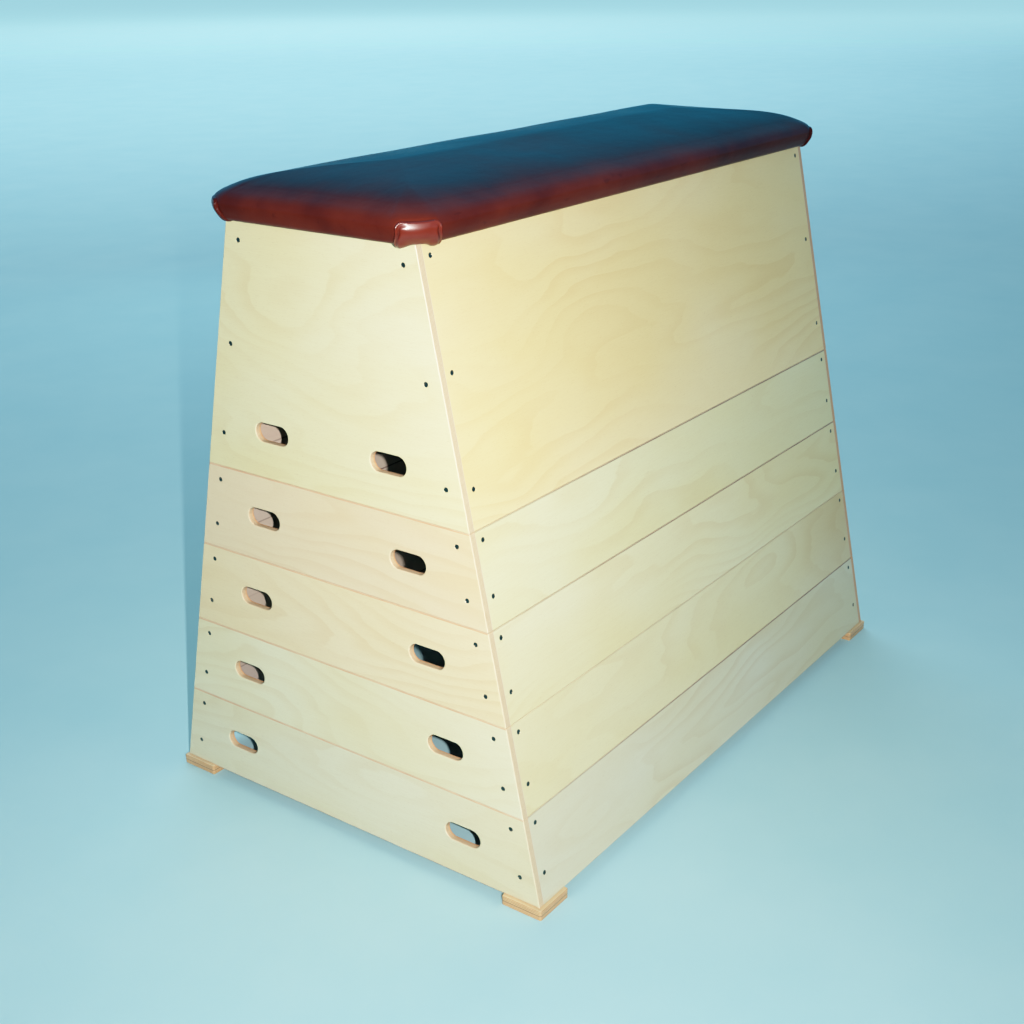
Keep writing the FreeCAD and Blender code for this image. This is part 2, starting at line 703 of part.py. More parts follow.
deck = new_body("deck_board")
sk = new_sketch(deck, "Outline", "XY_Plane")
rounded_rectangle(sk, S("deck_half_length"), S("deck_half_width"), S("deck_corner"))
pad(deck, "Board", sk, S("deck_thickness"))
round_edges(deck, "SoftEdge", S("deck_edge_round"), lambda e: flat_at(e, 2, NUM["deck_thickness"]))
sk = new_sketch(deck, "ScrewPlaces", "XY_Plane",
                FreeCAD.Placement(V(0, 0, NUM["deck_thickness"]), FreeCAD.Rotation()))
sk.setExpression(".AttachmentOffset.Base.z", "Sizes.deck_thickness")
for x, y in post_screws + batten_screws:
    circle(sk, x, y, S("clear_diameter") / 2.0)
sunk_hole(deck, "ScrewHoles", sk)
deck.Placement = at_deck
parts.append(deck)

for word, sign in (("left", -1.0), ("right", 1.0)):
    batten = new_body("deck_batten_" + word)
    sk = new_sketch(batten, "Outline", "XY_Plane")
    rectangle(sk, -S("batten_width") / 2.0, -bl, S("batten_width") / 2.0, bl)
    pad(batten, "Bar", sk, S("batten_thickness"), down=True)
    round_edges(batten, "Arris", 2.0, lambda e: flat_at(e, 2, -NUM["batten_thickness"]), kind="Chamfer")
    sk = new_sketch(batten, "PilotPlaces", "XY_Plane")
    for x, y in batten_screws:
        if x.value * sign > 0:
            circle(sk, x - sign * bx, y, S("pilot_diameter") / 2.0)
    pocket(batten, "Pilots", sk, S("deck_screw_length") - S("deck_thickness") + 1.0)
    batten.Placement = FreeCAD.Placement(V(sign * bx.value, 0, deck_z), FreeCAD.Rotation())
    parts.append(batten)

deck_top = deck_z + NUM["deck_thickness"] - NUM["screw_recess"]
parts.append(group("deck_screws", deck_screw, [
    FreeCAD.Placement(V(x.value, y.value, deck_top), FreeCAD.Rotation(V(0, 0, 1), 23.0 * i))
    for i, (x, y) in enumerate(post_screws + batten_screws)]))


def cushion(label, half_x, half_y, low, high, corner, top_round, low_round):
    """A slab with rounded corners and soft upper and lower edges."""
    body = new_body(label)
    sk = new_sketch(body, "Outline", "XY_Plane",
                    FreeCAD.Placement(V(0, 0, low.value), FreeCAD.Rotation()))
    if low.value != 0.0:
        sk.setExpression(".AttachmentOffset.Base.z", low.text)
    rectangle(sk, -half_x, -half_y, half_x, half_y)
    pad(body, "Slab", sk, high - low)
    round_edges(body, "Corners", corner,
                lambda e: abs(abs(ends(e)[0].z - ends(e)[-1].z) - (high - low).value) < 0.01)
    round_edges(body, "UpperEdge", top_round, lambda e: flat_at(e, 2, high.value))
    round_edges(body, "LowerEdge", low_round, lambda e: flat_at(e, 2, low.value))
    return body


# heights here are above the deck's underside
foam_high = S("foam_top") - (S("foot_height") + 4.0 * S("section_height") + S("top_height"))
foam_args = (S("foam_half_length"), S("foam_half_width"), Size.of(0.0), foam_high,
             S("foam_corner"), S("foam_top_round"), S("foam_low_round"))
foam = cushion("foam_pad", *foam_args)
play = 0.2
under = FreeCAD.Placement(V(0, 0, 0), FreeCAD.Rotation(V(1, 0, 0), 180))
sk = new_sketch(foam, "DeckRecessPlace", "XY_Plane", under)
rounded_rectangle(sk, S("deck_half_length") + play, S("deck_half_width") + play, S("deck_corner") + play)
pocket(foam, "DeckRecess", sk, S("deck_thickness"))
foam.Placement = at_deck
parts.append(foam)

# The cover: its outer form less the form of the foam, open below inside the hem.
skin = S("leather")
outer = cushion("cover_outside", S("foam_half_length") + skin, S("foam_half_width") + skin,
                -skin, foam_high + skin, S("foam_corner") + skin,
                S("foam_top_round") + skin, S("foam_low_round") + skin)
sk = new_sketch(outer, "HemOpening", "XY_Plane", under)
rectangle(sk, -S("hem_inner_half_length"), -S("hem_inner_half_width"),
          S("hem_inner_half_length"), S("hem_inner_half_width"))
before = outer.Shape.Volume
f = outer.newObject("PartDesign::Pocket", "Opening")
f.Profile = sk
f.Midplane = False
f.SideType = "Symmetric"
f.Length = 8.0
doc.recompute()
if not outer.Shape.Volume < before - 1.0:
    raise RuntimeError("the hem opening cuts nothing")
inside = cushion("cover_inside", *foam_args)
cover = doc.addObject("Part::Cut", "leather_cover")
cover.Base = outer
cover.Tool = inside
cover.Label = "leather_cover"
doc.recompute()
cover.Placement = at_deck
parts.append(cover)

# tacks through the hem into the deck's overhanging edge
tack_z = deck_z - NUM["leather"]
line_x = (NUM["deck_half_length"] + NUM["hem_inner_half_length"]) / 2 + 0.3
line_y = (NUM["deck_half_width"] + NUM["hem_inner_half_width"]) / 2 + 0.3
pitch = NUM["tack_pitch"]
tack_places = []
count = int((2 * line_x - 90) // pitch)
for i in range(count + 1):
    x = (i - count / 2.0) * pitch
    for s in (-1, 1):
        tack_places.append((x, s * line_y))
count = int((2 * line_y - 90) // pitch)
for i in range(count + 1):
    y = (i - count / 2.0) * pitch
    for s in (-1, 1):
        tack_places.append((s * line_x, y))
parts.append(group("cover_tacks", tack, [
    FreeCAD.Placement(V(x, y, tack_z), FreeCAD.Rotation()) for x, y in tack_places]))

# --------------------------------------------------------------------------
# Check and write
# --------------------------------------------------------------------------
doc.recompute()
for obj in doc.Objects:
    bad = [s for s in obj.State if s in ("Invalid", "Error")]
    if bad:
        raise RuntimeError("%s is %s" % (obj.Label, bad))
labels = [p.Label for p in parts]
if len(set(labels)) != len(labels) or len(labels) > 60:
    raise RuntimeError("labels")
os.makedirs("parts", exist_ok=True)
box = FreeCAD.BoundBox()
for p in parts:
    if p.Shape.isNull() or not p.Shape.isValid() or p.Shape.Volume <= 0:
        raise RuntimeError("%s has no valid shape" % p.Label)
    box.add(p.Shape.BoundBox)
for p in parts:
    p.Shape.exportStep("parts/%s.step" % p.Label)
print("%d parts, %.1f x %.1f x %.1f mm" % (len(parts), box.XLength, box.YLength, box.ZLength))
print("x %.1f %.1f  y %.1f %.1f  z %.1f %.1f" % (box.XMin, box.XMax, box.YMin, box.YMax, box.ZMin, box.ZMax))
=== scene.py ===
import math

import bpy
import numpy as np
from mathutils import Matrix, Vector


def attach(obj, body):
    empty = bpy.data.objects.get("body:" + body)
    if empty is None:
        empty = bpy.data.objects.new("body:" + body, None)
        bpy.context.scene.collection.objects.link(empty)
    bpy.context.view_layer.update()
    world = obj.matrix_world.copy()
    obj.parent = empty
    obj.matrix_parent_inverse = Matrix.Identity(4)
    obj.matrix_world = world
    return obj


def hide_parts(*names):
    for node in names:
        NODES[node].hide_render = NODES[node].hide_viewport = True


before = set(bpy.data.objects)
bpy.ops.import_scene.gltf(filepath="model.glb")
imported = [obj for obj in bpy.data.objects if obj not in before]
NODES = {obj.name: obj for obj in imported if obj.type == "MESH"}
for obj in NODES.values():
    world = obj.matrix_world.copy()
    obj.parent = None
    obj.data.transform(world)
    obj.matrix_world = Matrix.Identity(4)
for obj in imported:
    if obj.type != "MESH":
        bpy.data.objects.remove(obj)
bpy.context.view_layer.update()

SECTIONS = ["base", "section4", "section3", "section2", "top"]
FLOORS = [0.018 + 0.150 * n for n in range(5)]
TOPS = FLOORS[1:] + [1.026]

# --------------------------------------------------------------------------
# Camera
# --------------------------------------------------------------------------
FOCAL, CX, CY = 1402.375, 525.866, 568.536
AZ, EL, ROLL = math.radians(-54.0185), math.radians(24.2466), math.radians(-0.5792)
EYE = Vector((-2.06615, -1.43360, 1.40433))

back = Vector((math.sin(AZ) * math.cos(EL), -math.cos(AZ) * math.cos(EL), math.sin(EL)))
right = Vector((math.cos(AZ), math.sin(AZ), 0.0))
up = back.cross(right)
right, up = (right * math.cos(ROLL) + up * math.sin(ROLL),
             up * math.cos(ROLL) - right * math.sin(ROLL))
cam_data = bpy.data.cameras.new("view")
cam_data.sensor_width = 36.0
cam_data.lens = FOCAL * 36.0 / 1024.0
cam_data.shift_x = (512.0 - CX) / 1024.0
cam_data.shift_y = (CY - 512.0) / 1024.0
cam_data.clip_start, cam_data.clip_end = 0.05, 200.0
cam = bpy.data.objects.new("view", cam_data)
bpy.context.scene.collection.objects.link(cam)
m = Matrix((right, up, back)).transposed().to_4x4()
m.translation = EYE
cam.matrix_world = m
bpy.context.scene.camera = cam

scene = bpy.context.scene
scene.view_settings.view_transform = "Standard"
scene.view_settings.look = "None"
# a camera's curve: a short toe, even up to half way, then gently held back
scene.view_settings.use_curve_mapping = True
curves = scene.view_settings.curve_mapping
curves.white_level = (2.0, 2.0, 2.0)
bend = curves.curves[3]


def camera_curve(x):
    return x / (1.0 + (x / 1.04) ** 3) ** (1 / 3) * x / (x + 0.017) * 1.02


for v in (0.01, 0.025, 0.05, 0.12, 0.24, 0.36, 0.48, 0.62, 0.80):
    bend.points.new(v, camera_curve(2.0 * v))
bend.points[0].location = (0.0, 0.0)
bend.points[-1].location = (1.0, camera_curve(2.0))
curves.update()


# --------------------------------------------------------------------------
# Node helpers
# --------------------------------------------------------------------------
class Graph:
    """Short calls for building a material's nodes."""

    def __init__(self, name):
        self.mat = bpy.data.materials.new(name)
        self.mat.use_nodes = True
        self.tree = self.mat.node_tree
        self.tree.nodes.clear()
        self.out = self.tree.nodes.new("ShaderNodeOutputMaterial")
        self.bsdf = self.tree.nodes.new("ShaderNodeBsdfPrincipled")
        self.tree.links.new(self.bsdf.outputs[0], self.out.inputs[0])

    def new(self, kind, **props):
        n = self.tree.nodes.new(kind)
        for k, v in props.items():
            setattr(n, k, v)
        return n

    def put(self, socket, value):
        if value is None:
            return
        if isinstance(value, bpy.types.NodeSocket):
            self.tree.links.new(value, socket)
        else:
            socket.default_value = value

    def math(self, op, a, b=None, c=None, clamp=False):
        n = self.new("ShaderNodeMath", operation=op, use_clamp=clamp)
        for i, v in enumerate((a, b, c)):
            self.put(n.inputs[i], v)
        return n.outputs[0]

    def add(self, a, b):
        return self.math("ADD", a, b)

    def sub(self, a, b):
        return self.math("SUBTRACT", a, b)

    def mul(self, a, b):
        return self.math("MULTIPLY", a, b)

    def step(self, v, low, high, a=0.0, b=1.0):
        n = self.new("ShaderNodeMapRange", interpolation_type="SMOOTHSTEP")
        self.put(n.inputs["Value"], v)
        n.inputs["From Min"].default_value = low
        n.inputs["From Max"].default_value = high
        n.inputs["To Min"].default_value = a
        n.inputs["To Max"].default_value = b
        return n.outputs[0]

    def line(self, v, low, high, a=0.0, b=1.0):
        n = self.new("ShaderNodeMapRange", interpolation_type="LINEAR")
        n.clamp = True
        self.put(n.inputs["Value"], v)
        n.inputs["From Min"].default_value = low
        n.inputs["From Max"].default_value = high
        n.inputs["To Min"].default_value = a
        n.inputs["To Max"].default_value = b
        return n.outputs[0]

    def xyz(self, v):
        n = self.new("ShaderNodeSeparateXYZ")
        self.put(n.inputs[0], v)
        return n.outputs[0], n.outputs[1], n.outputs[2]

    def vec(self, x, y, z):
        n = self.new("ShaderNodeCombineXYZ")
        for i, v in enumerate((x, y, z)):
            self.put(n.inputs[i], v)
        return n.outputs[0]

    def noise(self, vector, scale=1.0, detail=2.0, rough=0.5, distortion=0.0):
        n = self.new("ShaderNodeTexNoise")
        n.noise_dimensions = "3D"
        self.put(n.inputs["Vector"], vector)
        n.inputs["Scale"].default_value = scale
        n.inputs["Detail"].default_value = detail
        n.inputs["Roughness"].default_value = rough
        n.inputs["Distortion"].default_value = distortion
        return n.outputs[0]

    def cells(self, vector, scale, feature="F1", smooth=None):
        n = self.new("ShaderNodeTexVoronoi")
        n.feature = feature
        self.put(n.inputs["Vector"], vector)
        n.inputs["Scale"].default_value = scale
        return n.outputs["Distance"]

    def mix(self, fac, a, b, blend="MIX"):
        n = self.new("ShaderNodeMix", data_type="RGBA", blend_type=blend, clamp_factor=True)
        self.put(n.inputs[0], fac)
        for sock, v in ((n.inputs[6], a), (n.inputs[7], b)):
            if isinstance(v, tuple):
                v = tuple(v) + (1.0,) if len(v) == 3 else v
            self.put(sock, v)
        return n.outputs[2]

    def bump(self, height, strength, distance, normal=None):
        n = self.new("ShaderNodeBump")
        n.inputs["Strength"].default_value = strength
        n.inputs["Distance"].default_value = distance
        self.put(n.inputs["Height"], height)
        if normal is not None:
            self.put(n.inputs["Normal"], normal)
        return n.outputs[0]

    def place(self):
        n = self.new("ShaderNodeTexCoord")
        return n.outputs["Object"]

    def set(self, **values):
        for k, v in values.items():
            self.put(self.bsdf.inputs[k.replace("_", " ")], v)
        return self.mat


def srgb(r, g, b):
    """Display values 0..255 to the linear colour a shader takes."""
    out = []
    for v in (r, g, b):
        v = v / 255.0
        out.append(v / 12.92 if v <= 0.04045 else ((v + 0.055) / 1.055) ** 2.4)
    return tuple(out)


# --------------------------------------------------------------------------
# Plywood: veneer on the two faces, the layers on every cut edge
# --------------------------------------------------------------------------
PLY_LIGHT = srgb(242, 222, 190)
PLY_DARK = srgb(232, 202, 164)
PLY_GLUE = srgb(188, 146, 108)


def veneer(g, along, across, seed, warmth):
    """Rotary-cut birch: colour and a height, from the two coordinates on the face, in metres."""
    s = seed * 7.31
    # slow fields: how the growth rings wander over the sheet
    slow = g.noise(g.vec(g.add(g.mul(along, 1.55), s), g.mul(across, 4.6), s * 1.7), 1.0, 1.5, 0.42, 0.25)
    mid = g.noise(g.vec(g.add(g.mul(along, 4.2), s * 2.1), g.mul(across, 15.0), s), 1.0, 2.0, 0.5, 0.15)
    fine = g.noise(g.vec(g.mul(along, 16.0), g.mul(across, 95.0), s), 1.0, 2.0, 0.5)
    phase = g.add(g.mul(across, 17.0), g.add(g.mul(slow, 13.0), g.add(g.mul(mid, 1.7), g.mul(fine, 0.16))))
    ring = g.math("FRACT", phase)
    late = g.mul(g.step(ring, 0.30, 0.93), g.step(ring, 0.93, 1.0, 1.0, 0.0))
    # some rings are strong and some hardly show
    strength = g.line(g.noise(g.vec(g.mul(along, 2.3), g.mul(across, 9.0), s * 3.3), 1.0, 1.0, 0.5), 0.34, 0.68, 0.12, 1.0)
    late = g.mul(late, strength)
    fibre = g.noise(g.vec(g.mul(along, 26.0), g.mul(across, 950.0), s), 1.0, 3.0, 0.6)
    pores = g.noise(g.vec(g.mul(along, 150.0), g.mul(across, 1700.0), s * 2.0), 1.0, 1.0, 0.5)
    pores = g.step(pores, 0.64, 0.76)
    broad = g.noise(g.vec(g.mul(along, 2.0), g.mul(across, 4.0), s * 0.7), 1.0, 2.0, 0.55)
    warm = g.line(broad, 0.36, 0.66, 0.0, 1.0)
    pale = srgb(238, 230, 203)
    honey = srgb(234, 216, 168)
    amber = srgb(208, 170, 118)
    base = g.mix(g.math("ADD", g.mul(warm, 0.55), warmth, clamp=True), pale, honey)
    base = g.mix(g.mul(late, 0.19), base, amber)
    base = g.mix(g.line(fibre, 0.25, 0.75, 0.0, 0.15), base, srgb(206, 170, 122))
    base = g.mix(g.mul(pores, 0.22), base, srgb(168, 118, 78))
    height = g.sub(g.mul(fibre, 0.5), g.add(g.mul(late, 0.35), g.mul(pores, 0.6)))
    return base, late, height


def layers(g, depth_mm, along, across, count, thickness_mm, tint=None):
    """Colour of a cut plywood edge at a depth from the outer face."""
    t = g.mul(depth_mm, count / thickness_mm)
    part = g.math("FRACT", t)
    odd = g.math("FRACT", g.mul(g.math("FLOOR", t), 0.5))
    odd = g.math("GREATER_THAN", odd, 0.25)
    grain = g.noise(g.vec(g.mul(along, 60.0), g.mul(across, 60.0), g.mul(t, 9.0)), 1.0, 3.0, 0.6)
    colour = g.mix(odd, PLY_LIGHT, PLY_DARK)
    colour = g.mix(g.line(grain, 0.3, 0.75, 0.0, 0.45), colour, srgb(150, 96, 62))
    glue = g.math("MAXIMUM", g.step(part, 0.90, 0.98), g.step(part, 0.02, 0.10, 1.0, 0.0))
    colour = g.mix(g.mul(glue, 0.55), colour, PLY_GLUE)
    return colour, glue


def lacquer(g, colour, height, late):
    rough = g.line(late, 0.0, 1.0, 0.40, 0.50)
    g.set(Base_Color=colour, Roughness=rough, Normal=g.bump(height, 0.16, 0.00025))
    g.bsdf.inputs["Specular IOR Level"].default_value = 0.42
    g.bsdf.inputs["Coat Weight"].default_value = 0.22
    g.bsdf.inputs["Coat Roughness"].default_value = 0.26
    return g.mat


def panel_material(name, side, section, seed, warmth, tint):
    """Material of one panel; side is "x" for the ends and "y" for the long sides."""
    g = Graph(name)
    x, y, z = g.xyz(g.place())
    if side == "x":
        across_raw, lean, half, run = x, 0.02, 0.616, y
    else:
        across_raw, lean, half, run = y, 0.2146, 0.401, x
    face = g.sub(g.sub(half, g.mul(g.sub(z, 0.018), lean)), g.math("ABSOLUTE", across_raw))
    depth = g.mul(face, 1000.0 / math.sqrt(1.0 + lean * lean))
    inner = g.math("GREATER_THAN", depth, 6.0)
    along = g.add(run, g.mul(inner, 1.9))
    across = g.add(g.mul(z, math.sqrt(1.0 + lean * lean)), g.mul(inner, 0.77))
    colour, late, height = veneer(g, along, across, seed, warmth)
    ply, glue = layers(g, depth, run, z, 9, 12.0)
    if side == "x":
        # the slots' walls are bare end grain, more orange deeper into the slot: partly the end grain's colour, partly
        # painted shade for the dimmer, warmer light inside the slot
        width = g.sub(0.401, g.mul(g.sub(z, 0.018), 0.2146))
        in_slot = g.step(g.sub(width, g.math("ABSOLUTE", y)), 0.020, 0.040)
        ply = g.mix(g.mul(in_slot, g.step(depth, 5.5, 11.5, 0.05, 0.75)), ply, srgb(232, 168, 118))
        # painted highlight: a pale line along the rounded outer arris of the end panels, kept out of the slots
        arris_highlight = g.step(depth, 0.5, 2.0, 0.25, 0.0)
        ply = g.mix(g.mul(arris_highlight, g.sub(1.0, in_slot)), ply, srgb(240, 230, 205))
    if name.endswith("_right") and side == "x":
        ply = g.mix(0.55, ply, srgb(206, 132, 84))
    if SECTIONS[section] == "section4" and name.endswith("_front"):
        colour = g.mix(g.mul(g.step(x, 0.22, 0.60), 0.30), colour, srgb(196, 148, 100))
    # the cut edge starts just inside each face
    cut = g.mul(g.step(depth, 0.25, 0.75), g.step(depth, 11.25, 11.75, 1.0, 0.0))
    # tint per section: the veneer's tone, with painted floor bounce making the base bluer
    colour = g.mix(1.0, colour, tint, "MULTIPLY")
    # the inside is bare and greyer
    colour = g.mix(g.mul(inner, 0.7), colour, srgb(226, 204, 200))
    # darker along the joints between the sections: partly dirt, partly painted shade of the gaps between them
    near_low = g.math("ABSOLUTE", g.sub(z, FLOORS[section]))
    near_top = g.math("ABSOLUTE", g.sub(z, TOPS[section]))
    joint_patchiness = g.noise(g.vec(g.mul(run, 14.0), g.mul(z, 14.0), seed), 1.0, 3.0, 0.6)
    if side == "x":
        joint = g.step(g.math("MINIMUM", near_low, near_top), 0.0005, 0.0026, 1.0, 0.0)
        joint = g.mul(joint, g.line(joint_patchiness, 0.35, 0.7, 0.50, 0.85))
        colour = g.mix(joint, colour, srgb(206, 132, 98))
    else:
        # on the long sides the joints are darker, least the one between the third and fourth sections, which closes
        # tightest, and weaker towards the -X end: partly dirt, partly painted shade
        low_share, top_share = {"base": (0.4, 1.0), "section4": (1.0, 0.35), "section3": (0.35, 1.0),
                                "section2": (1.0, 1.0), "top": (1.0, 0.2)}[SECTIONS[section]]
        joint = g.math("MAXIMUM", g.mul(g.step(near_low, 0.0006, 0.0022, 1.0, 0.0), low_share),
                       g.mul(g.step(near_top, 0.0006, 0.0022, 1.0, 0.0), top_share))
        joint = g.mul(joint, g.mul(g.line(joint_patchiness, 0.35, 0.7, 0.75, 1.0), g.step(x, -0.60, -0.05, 0.45, 1.0)))
        colour = g.mix(joint, colour, srgb(112, 72, 68))
    colour = g.mix(cut, colour, ply)
    height = g.sub(g.mul(height, g.sub(1.0, cut)), g.mul(g.mul(glue, cut), 0.8))
    return lacquer(g, colour, height, late)


def solid_wood(name, grain_axis, seed, tone=0.0):
    """Planed softwood of the posts and battens, its grain along one axis."""
    g = Graph(name)
    x, y, z = g.xyz(g.place())
    order = {"x": (x, y, z), "y": (y, x, z), "z": (z, x, y)}[grain_axis]
    along, a, b = order
    s = seed * 3.7
    wander = g.noise(g.vec(g.mul(along, 2.4), g.mul(a, 9.0), g.add(g.mul(b, 9.0), s)), 1.0, 2.0, 0.5)
    phase = g.add(g.mul(a, 210.0), g.add(g.mul(b, 120.0), g.mul(wander, 6.0)))
    ring = g.math("FRACT", phase)
    late = g.mul(g.step(ring, 0.25, 0.9), g.step(ring, 0.9, 1.0, 1.0, 0.0))
    fibre = g.noise(g.vec(g.mul(along, 22.0), g.mul(a, 900.0), g.mul(b, 900.0)), 1.0, 2.0, 0.6)
    colour = g.mix(g.mul(late, 0.6), srgb(232, 206, 160), srgb(190, 138, 86))
    colour = g.mix(g.line(fibre, 0.3, 0.75, 0.0, 0.25), colour, srgb(176, 128, 84))
    height = g.sub(g.mul(fibre, 0.6), g.mul(late, 0.3))
    g.set(Base_Color=colour, Roughness=0.62, Normal=g.bump(height, 0.25, 0.0003))
    return g.mat


def foot_material(name, seed):
    """Two thick layers of plywood glued face to face."""
    g = Graph(name)
    x, y, z = g.xyz(g.place())
    depth = g.mul(z, 1000.0)
    colour, late, height = veneer(g, x, y, seed, 0.35)
    grain = g.noise(g.vec(g.mul(x, 70.0), g.mul(y, 70.0), g.mul(z, 900.0)), 1.0, 3.0, 0.6)
    t = g.mul(depth, 7.0 / 9.0)
    odd = g.math("GREATER_THAN", g.math("FRACT", g.mul(g.math("FLOOR", t), 0.5)), 0.25)
    ply = g.mix(odd, srgb(238, 206, 160), srgb(206, 148, 100))
    ply = g.mix(g.line(grain, 0.3, 0.75, 0.0, 0.4), ply, srgb(178, 116, 74))
    joint = g.mul(g.step(depth, 8.2, 8.8), g.step(depth, 9.2, 9.8, 1.0, 0.0))
    ply = g.mix(g.mul(joint, 0.8), ply, srgb(96, 60, 44))
    low = g.step(depth, 0.0, 9.0, 1.0, 0.0)
    ply = g.mix(g.mul(low, 0.25), ply, srgb(204, 132, 76))
    cut = g.mul(g.step(depth, 0.3, 0.8), g.step(depth, 17.2, 17.7, 1.0, 0.0))
    colour = g.mix(0.35, colour, srgb(214, 160, 120))
    colour = g.mix(cut, colour, ply)
    g.set(Base_Color=colour, Roughness=0.5, Normal=g.bump(g.mul(grain, 0.6), 0.2, 0.0003))
    g.bsdf.inputs["Coat Weight"].default_value = 0.15
    g.bsdf.inputs["Coat Roughness"].default_value = 0.35
    return g.mat


def steel(name, colour, rough, metal=0.9):
    g = Graph(name)
    p = g.place()
    n = g.noise(p, 900.0, 3.0, 0.6)
    slow = g.noise(p, 60.0, 2.0, 0.5)
    dark = tuple(c * 0.45 for c in colour)
    c = g.mix(g.line(n, 0.3, 0.7, 0.0, 0.6), colour, dark)
    c = g.mix(g.line(slow, 0.4, 0.75, 0.0, 0.3), c, srgb(86, 74, 62))
    g.set(Base_Color=c, Roughness=g.line(n, 0.2, 0.8, rough - 0.08, rough + 0.12), Normal=g.bump(n, 0.15, 0.0001))
    g.bsdf.inputs["Metallic"].default_value = metal
    return g.mat


def leather_material(name, pleat=False):
    g = Graph(name)
    p = g.place()
    x, y, z = g.xyz(p)
    warp = g.noise(p, 45.0, 2.0, 0.5)
    pebbles = g.cells(g.vec(g.add(x, g.mul(warp, 0.004)), g.add(y, g.mul(warp, 0.003)), z), 560.0)
    pebbles2 = g.cells(p, 1150.0)
    pore = g.noise(p, 1400.0, 2.0, 0.6)
    crease = g.noise(g.vec(g.mul(x, 26.0), g.mul(y, 60.0), g.mul(z, 60.0)), 1.0, 4.0, 0.62, 0.6)
    cloud = g.noise(p, 7.0, 3.0, 0.55)
    patch = g.noise(g.vec(g.mul(x, 1.6), g.mul(y, 3.0), g.mul(z, 6.0)), 1.0, 2.0, 0.5)
    deep = srgb(75, 27, 20)
    red = srgb(116, 48, 34)
    base = g.mix(g.line(cloud, 0.32, 0.7, 0.0, 1.0), deep, red)
    base = g.mix(g.line(patch, 0.35, 0.7, 0.0, 0.35), base, srgb(84, 24, 20))
    base = g.mix(g.step(crease, 0.60, 0.72, 0.0, 0.30), base, srgb(48, 14, 14))
    if pleat:
        # stretched smooth and redder over the folds; painted shade: an occlusion mask paints the creases dark
        base = g.mix(0.62, base, srgb(120, 38, 20))
        shade = g.new("ShaderNodeAmbientOcclusion", samples=8)
        shade.inputs["Distance"].default_value = 0.014
        base = g.mix(g.step(shade.outputs["AO"], 0.55, 0.90, 0.95, 0.0), base, srgb(30, 8, 8))
    # painted shade: darker over the top and its upper rounding, and darker towards the +X end, for how the light falls
    # on the pad
    base = g.mix(g.step(x, -0.45, 0.55, 0.0, 0.55), base, srgb(36, 11, 13))
    base = g.mix(g.step(z, 1.060, 1.084, 0.0, 0.68), base, srgb(36, 11, 13))
    height = g.add(g.mul(g.sub(0.6, pebbles), 0.55), g.mul(g.sub(0.6, pebbles2), 0.25))
    height = g.sub(height, g.mul(g.step(crease, 0.60, 0.72), 0.6))
    n1 = g.bump(height, 0.08 if pleat else 0.22, 0.0004)
    swell = g.noise(g.vec(g.mul(x, 9.0), g.mul(y, 16.0), g.mul(z, 20.0)), 1.0, 3.0, 0.55)
    n2 = g.bump(swell, 0.12 if pleat else 0.30, 0.004, n1)
    rough = g.line(g.add(g.mul(pore, 0.5), g.mul(cloud, 0.5)), 0.3, 0.7, 0.30, 0.44)
    g.set(Base_Color=base, Roughness=rough, Normal=n2)
    g.put(g.bsdf.inputs["Coat Normal"], n2)
    g.bsdf.inputs["Specular IOR Level"].default_value = 0.12
    g.bsdf.inputs["Coat Weight"].default_value = 0.85 if pleat else 0.14
    g.bsdf.inputs["Coat Roughness"].default_value = 0.27 if pleat else 0.15
    return g.mat


def paint(node, material):
    o = NODES[node]
    o.data.materials.clear()
    o.data.materials.append(material)


# colour factors for each section, on the end panels and on the long sides: the veneer's own tone, and painted light,
# the base section tinted bluer for the cyan light bounced up from the floor
TONE_AND_BOUNCE_X = {"base": (0.93, 0.91, 0.88), "section4": (0.97, 0.97, 0.94), "section3": (1.0, 0.89, 0.77),
          "section2": (0.97, 0.84, 0.75), "top": (0.98, 0.98, 0.88)}
TONE_AND_BOUNCE_Y = {"base": (0.87, 0.89, 0.95), "section4": (0.97, 0.97, 0.90), "section3": (0.99, 0.99, 0.90),
          "section2": (0.98, 1.0, 0.90), "top": (1.08, 1.0, 0.86)}
WARMTH = {"base": 0.05, "section4": 0.10, "section3": 0.0, "section2": 0.05, "top": 0.30}
for i, name in enumerate(SECTIONS):
    for j, (word, axis) in enumerate((("end_panel_left", "x"), ("end_panel_right", "x"),
                                      ("side_panel_front", "y"), ("side_panel_back", "y"))):
        extra = 0.0 if axis == "x" else 0.12
        paint("%s_%s" % (name, word),
              panel_material("birch_%s_%s" % (name, word), axis, i, 1.0 + i * 4 + j, WARMTH[name] * (0.4 if axis == "x" else 1.0) + extra,
                             (TONE_AND_BOUNCE_X if axis == "x" else TONE_AND_BOUNCE_Y)[name]))

post_wood = [solid_wood("post_wood_%d" % k, "z", 2.0 + k) for k in range(2)]
for i, name in enumerate(SECTIONS):
    for k, word in enumerate(("front_left", "front_right", "back_left", "back_right")):
        paint("%s_post_%s" % (name, word), post_wood[(i + k) % 2])
batten_wood = solid_wood("batten_wood", "y", 9.0)
paint("deck_batten_left", batten_wood)
paint("deck_batten_right", batten_wood)


def deck_material():
    g = Graph("deck_plywood")
    x, y, z = g.xyz(g.place())
    colour, late, height = veneer(g, x, y, 41.0, 0.5)
    depth = g.mul(g.sub(z, 1.026), 1000.0)
    ply, glue = layers(g, depth, x, y, 13, 18.0)
    cut = g.mul(g.step(depth, 0.2, 0.6), g.step(depth, 17.4, 17.8, 1.0, 0.0))
    colour = g.mix(cut, colour, ply)
    g.set(Base_Color=colour, Roughness=0.6, Normal=g.bump(height, 0.2, 0.0003))
    return g.mat


paint("deck_board", deck_material())
for k, word in enumerate(("front_left", "front_right", "back_left", "back_right")):
    paint("foot_" + word, foot_material("foot_plywood_" + word, 50.0 + k))

